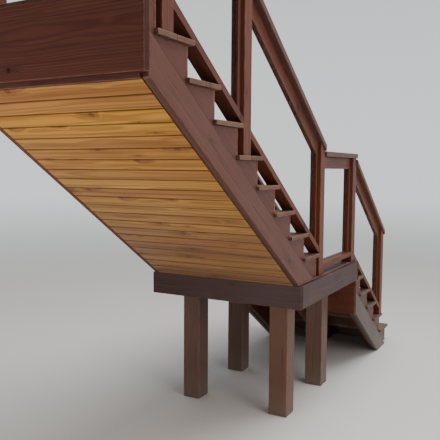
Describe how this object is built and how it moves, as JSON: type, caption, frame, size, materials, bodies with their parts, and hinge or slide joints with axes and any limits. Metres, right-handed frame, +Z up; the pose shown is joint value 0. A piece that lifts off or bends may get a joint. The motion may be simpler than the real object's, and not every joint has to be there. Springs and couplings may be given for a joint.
{
  "type": "timber deck stairs",
  "caption": "Outdoor timber stairs with two straight flights in line, a landing on posts between them, closed risers, a boarded soffit and glazed timber railings.",
  "frame": {"origin": "on the ground under the middle of the stairs' outline", "axes": "+X across the stairs to the side that the picture shows, +Y along the stairs in the direction that they go down, +Z up"},
  "size_m": [1.19, 4.3318, 3.3727],
  "materials": {
    "stained_timber": "dark red-brown stain, satin",
    "tread_timber": "brown stain, worn and matt",
    "cedar_soffit": "clear coated cedar, satin",
    "clear_glass": "polished"
  },
  "bodies": {
    "root": {"upper_header": "stained_timber", "upper_top_board": "tread_timber", "upper_stringer_near": "stained_timber", "upper_stringer_far": "stained_timber", "upper_stringer_middle": "stained_timber", "upper_fascia_near": "stained_timber", "upper_fascia_far": "stained_timber", "upper_tread_1": "tread_timber", "upper_tread_2": "tread_timber", "upper_tread_3": "tread_timber", "upper_tread_4": "tread_timber", "upper_tread_5": "tread_timber", "upper_tread_6": "tread_timber", "upper_tread_7": "tread_timber", "upper_tread_8": "tread_timber", "upper_risers": "stained_timber", "upper_soffit": "cedar_soffit", "upper_soffit_trim": "stained_timber", "landing_rim_back": "stained_timber", "landing_rim_front": "stained_timber", "landing_rim_near": "stained_timber", "landing_rim_far": "stained_timber", "landing_joists": "stained_timber", "landing_boards": "tread_timber", "landing_posts_back": "stained_timber", "landing_posts_front": "stained_timber", "lower_hanger_board": "stained_timber", "lower_stringer_near": "stained_timber", "lower_stringer_far": "stained_timber", "lower_stringer_middle": "stained_timber", "lower_fascia_near": "stained_timber", "lower_fascia_far": "stained_timber", "lower_tread_1": "tread_timber", "lower_tread_2": "tread_timber", "lower_tread_3": "tread_timber", "lower_tread_4": "tread_timber", "lower_tread_5": "tread_timber", "lower_risers": "stained_timber", "near_rail_posts": "stained_timber", "near_bottom_rails": "stained_timber", "near_top_rails": "stained_timber", "near_handrail_caps": "stained_timber", "near_stiles": "stained_timber", "near_glass": "clear_glass", "far_rail_posts": "stained_timber", "far_bottom_rails": "stained_timber", "far_top_rails": "stained_timber", "far_handrail_caps": "stained_timber", "far_stiles": "stained_timber", "far_glass": "clear_glass"}
  },
  "joints": []
}
